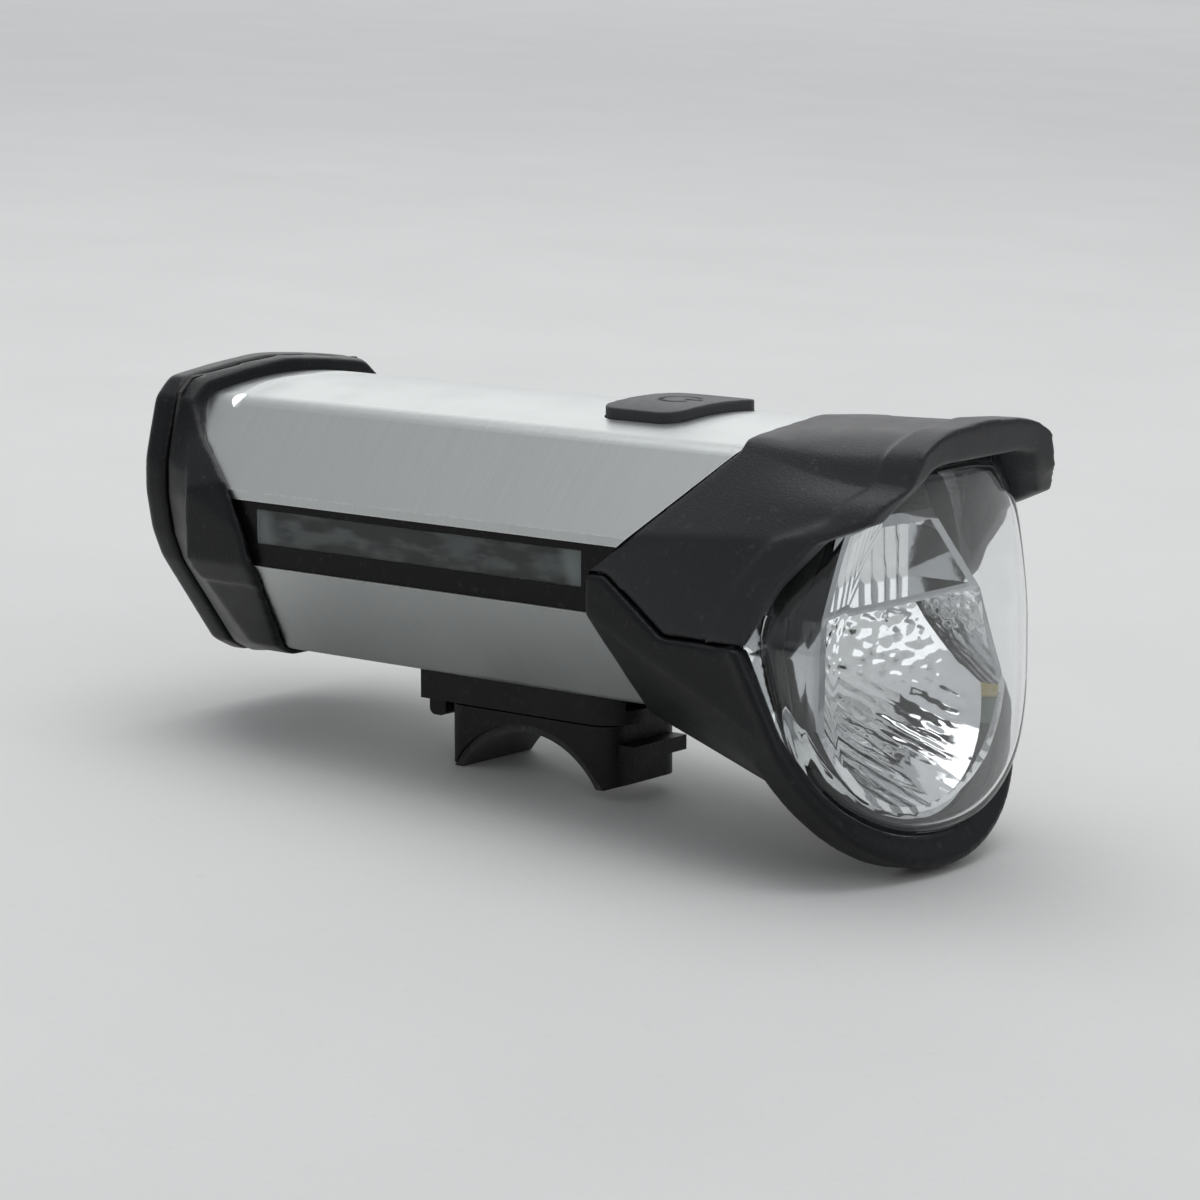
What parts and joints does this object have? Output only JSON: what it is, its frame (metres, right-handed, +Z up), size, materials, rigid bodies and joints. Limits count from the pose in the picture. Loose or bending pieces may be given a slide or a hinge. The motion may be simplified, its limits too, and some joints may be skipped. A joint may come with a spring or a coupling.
{
  "type": "bicycle headlight",
  "caption": "Rechargeable handlebar headlight: brushed aluminium body, hooded clear lens, press button, rear charging flap and a saddle bracket for the bar.",
  "frame": {"origin": "middle of the lamp's width and length, on the surface it lies on", "axes": "+X across the lamp, +Y from the lens towards the rear cover, +Z up; the lamp's own axis is tipped nose-up by 3.5 degrees, as it lies on its front rim and bracket"},
  "size_m": [0.0472, 0.1138, 0.0521],
  "materials": {
    "tube": "brushed across, anodised",
    "strip": "satin",
    "window": "clear plastic",
    "side_board": "satin",
    "shell_black": "satin",
    "shell_grey": "fine satin",
    "seal": "matte",
    "screw": "plain",
    "steel": "plain",
    "flap_rubber": "matte",
    "lens": "clear polycarbonate, polished",
    "mirror_coat": "vacuum-metallised",
    "board": "solder resist",
    "emitter": "phosphor",
    "cooler": "plain",
    "cell_wrap": "shrink wrap",
    "cradle": "plain",
    "nickel": "plain",
    "pad_rubber": "silicone",
    "bracket": "satin",
    "bar_rubber": "matte"
  },
  "bodies": {
    "lamp": {"body_tube": "tube", "side_strip_right": "strip", "side_strip_left": "strip", "side_window_right": "window", "side_window_left": "window", "side_board_right": "side_board", "side_board_left": "side_board", "rear_collar": "shell_black", "rear_seal": "seal", "rear_cover": "shell_black", "rear_screws": "screw", "charge_port": "steel", "flap_pin": "steel", "visor_shell": "shell_grey", "bezel_shell": "shell_black", "lens": "lens", "lens_seal": "seal", "reflector": "mirror_coat", "led_board": "board", "led_emitter": "emitter", "heat_sink": "cooler", "battery_cell_right": "cell_wrap", "battery_cell_left": "cell_wrap", "cell_cradle": "cradle", "cell_contacts": "nickel", "main_board": "board", "push_switch": "steel", "mount_rail": "bracket", "rail_screws": "screw", "bracket_housing": "bracket", "tab_pin": "steel", "tab_spring": "steel"},
    "button": {"button_pad": "pad_rubber"},
    "flap": {"port_flap": "flap_rubber"},
    "tab": {"release_tab": "bracket"},
    "holder": {"saddle_base": "bracket", "saddle_pad": "bar_rubber", "pivot_screw": "screw"}
  },
  "joints": [
    {"name": "button_press", "type": "slide", "parent": "lamp", "child": "button", "axis": [0, -0.0607, -0.9982], "range_m": [0, 0.0006], "stiffness_N_per_m": 2000, "springref_m": -0.0006},
    {"name": "flap_hinge", "type": "hinge", "parent": "lamp", "child": "flap", "pos_m": [0, 0.05446, 0.02056], "axis": [-1, 0, 0], "range_deg": [0, 95]},
    {"name": "tab_hinge", "type": "hinge", "parent": "lamp", "child": "tab", "pos_m": [0, 0.01792, 0.00955], "axis": [-1, 0, 0], "range_deg": [0, 6], "stiffness_Nm_per_rad": 0.02, "springref_deg": -5.73},
    {"name": "holder_swivel", "type": "hinge", "parent": "lamp", "child": "holder", "pos_m": [0, 0.00239, 0.00949], "axis": [0, 0.0607, 0.9982], "range_deg": [-10, 10]}
  ]
}
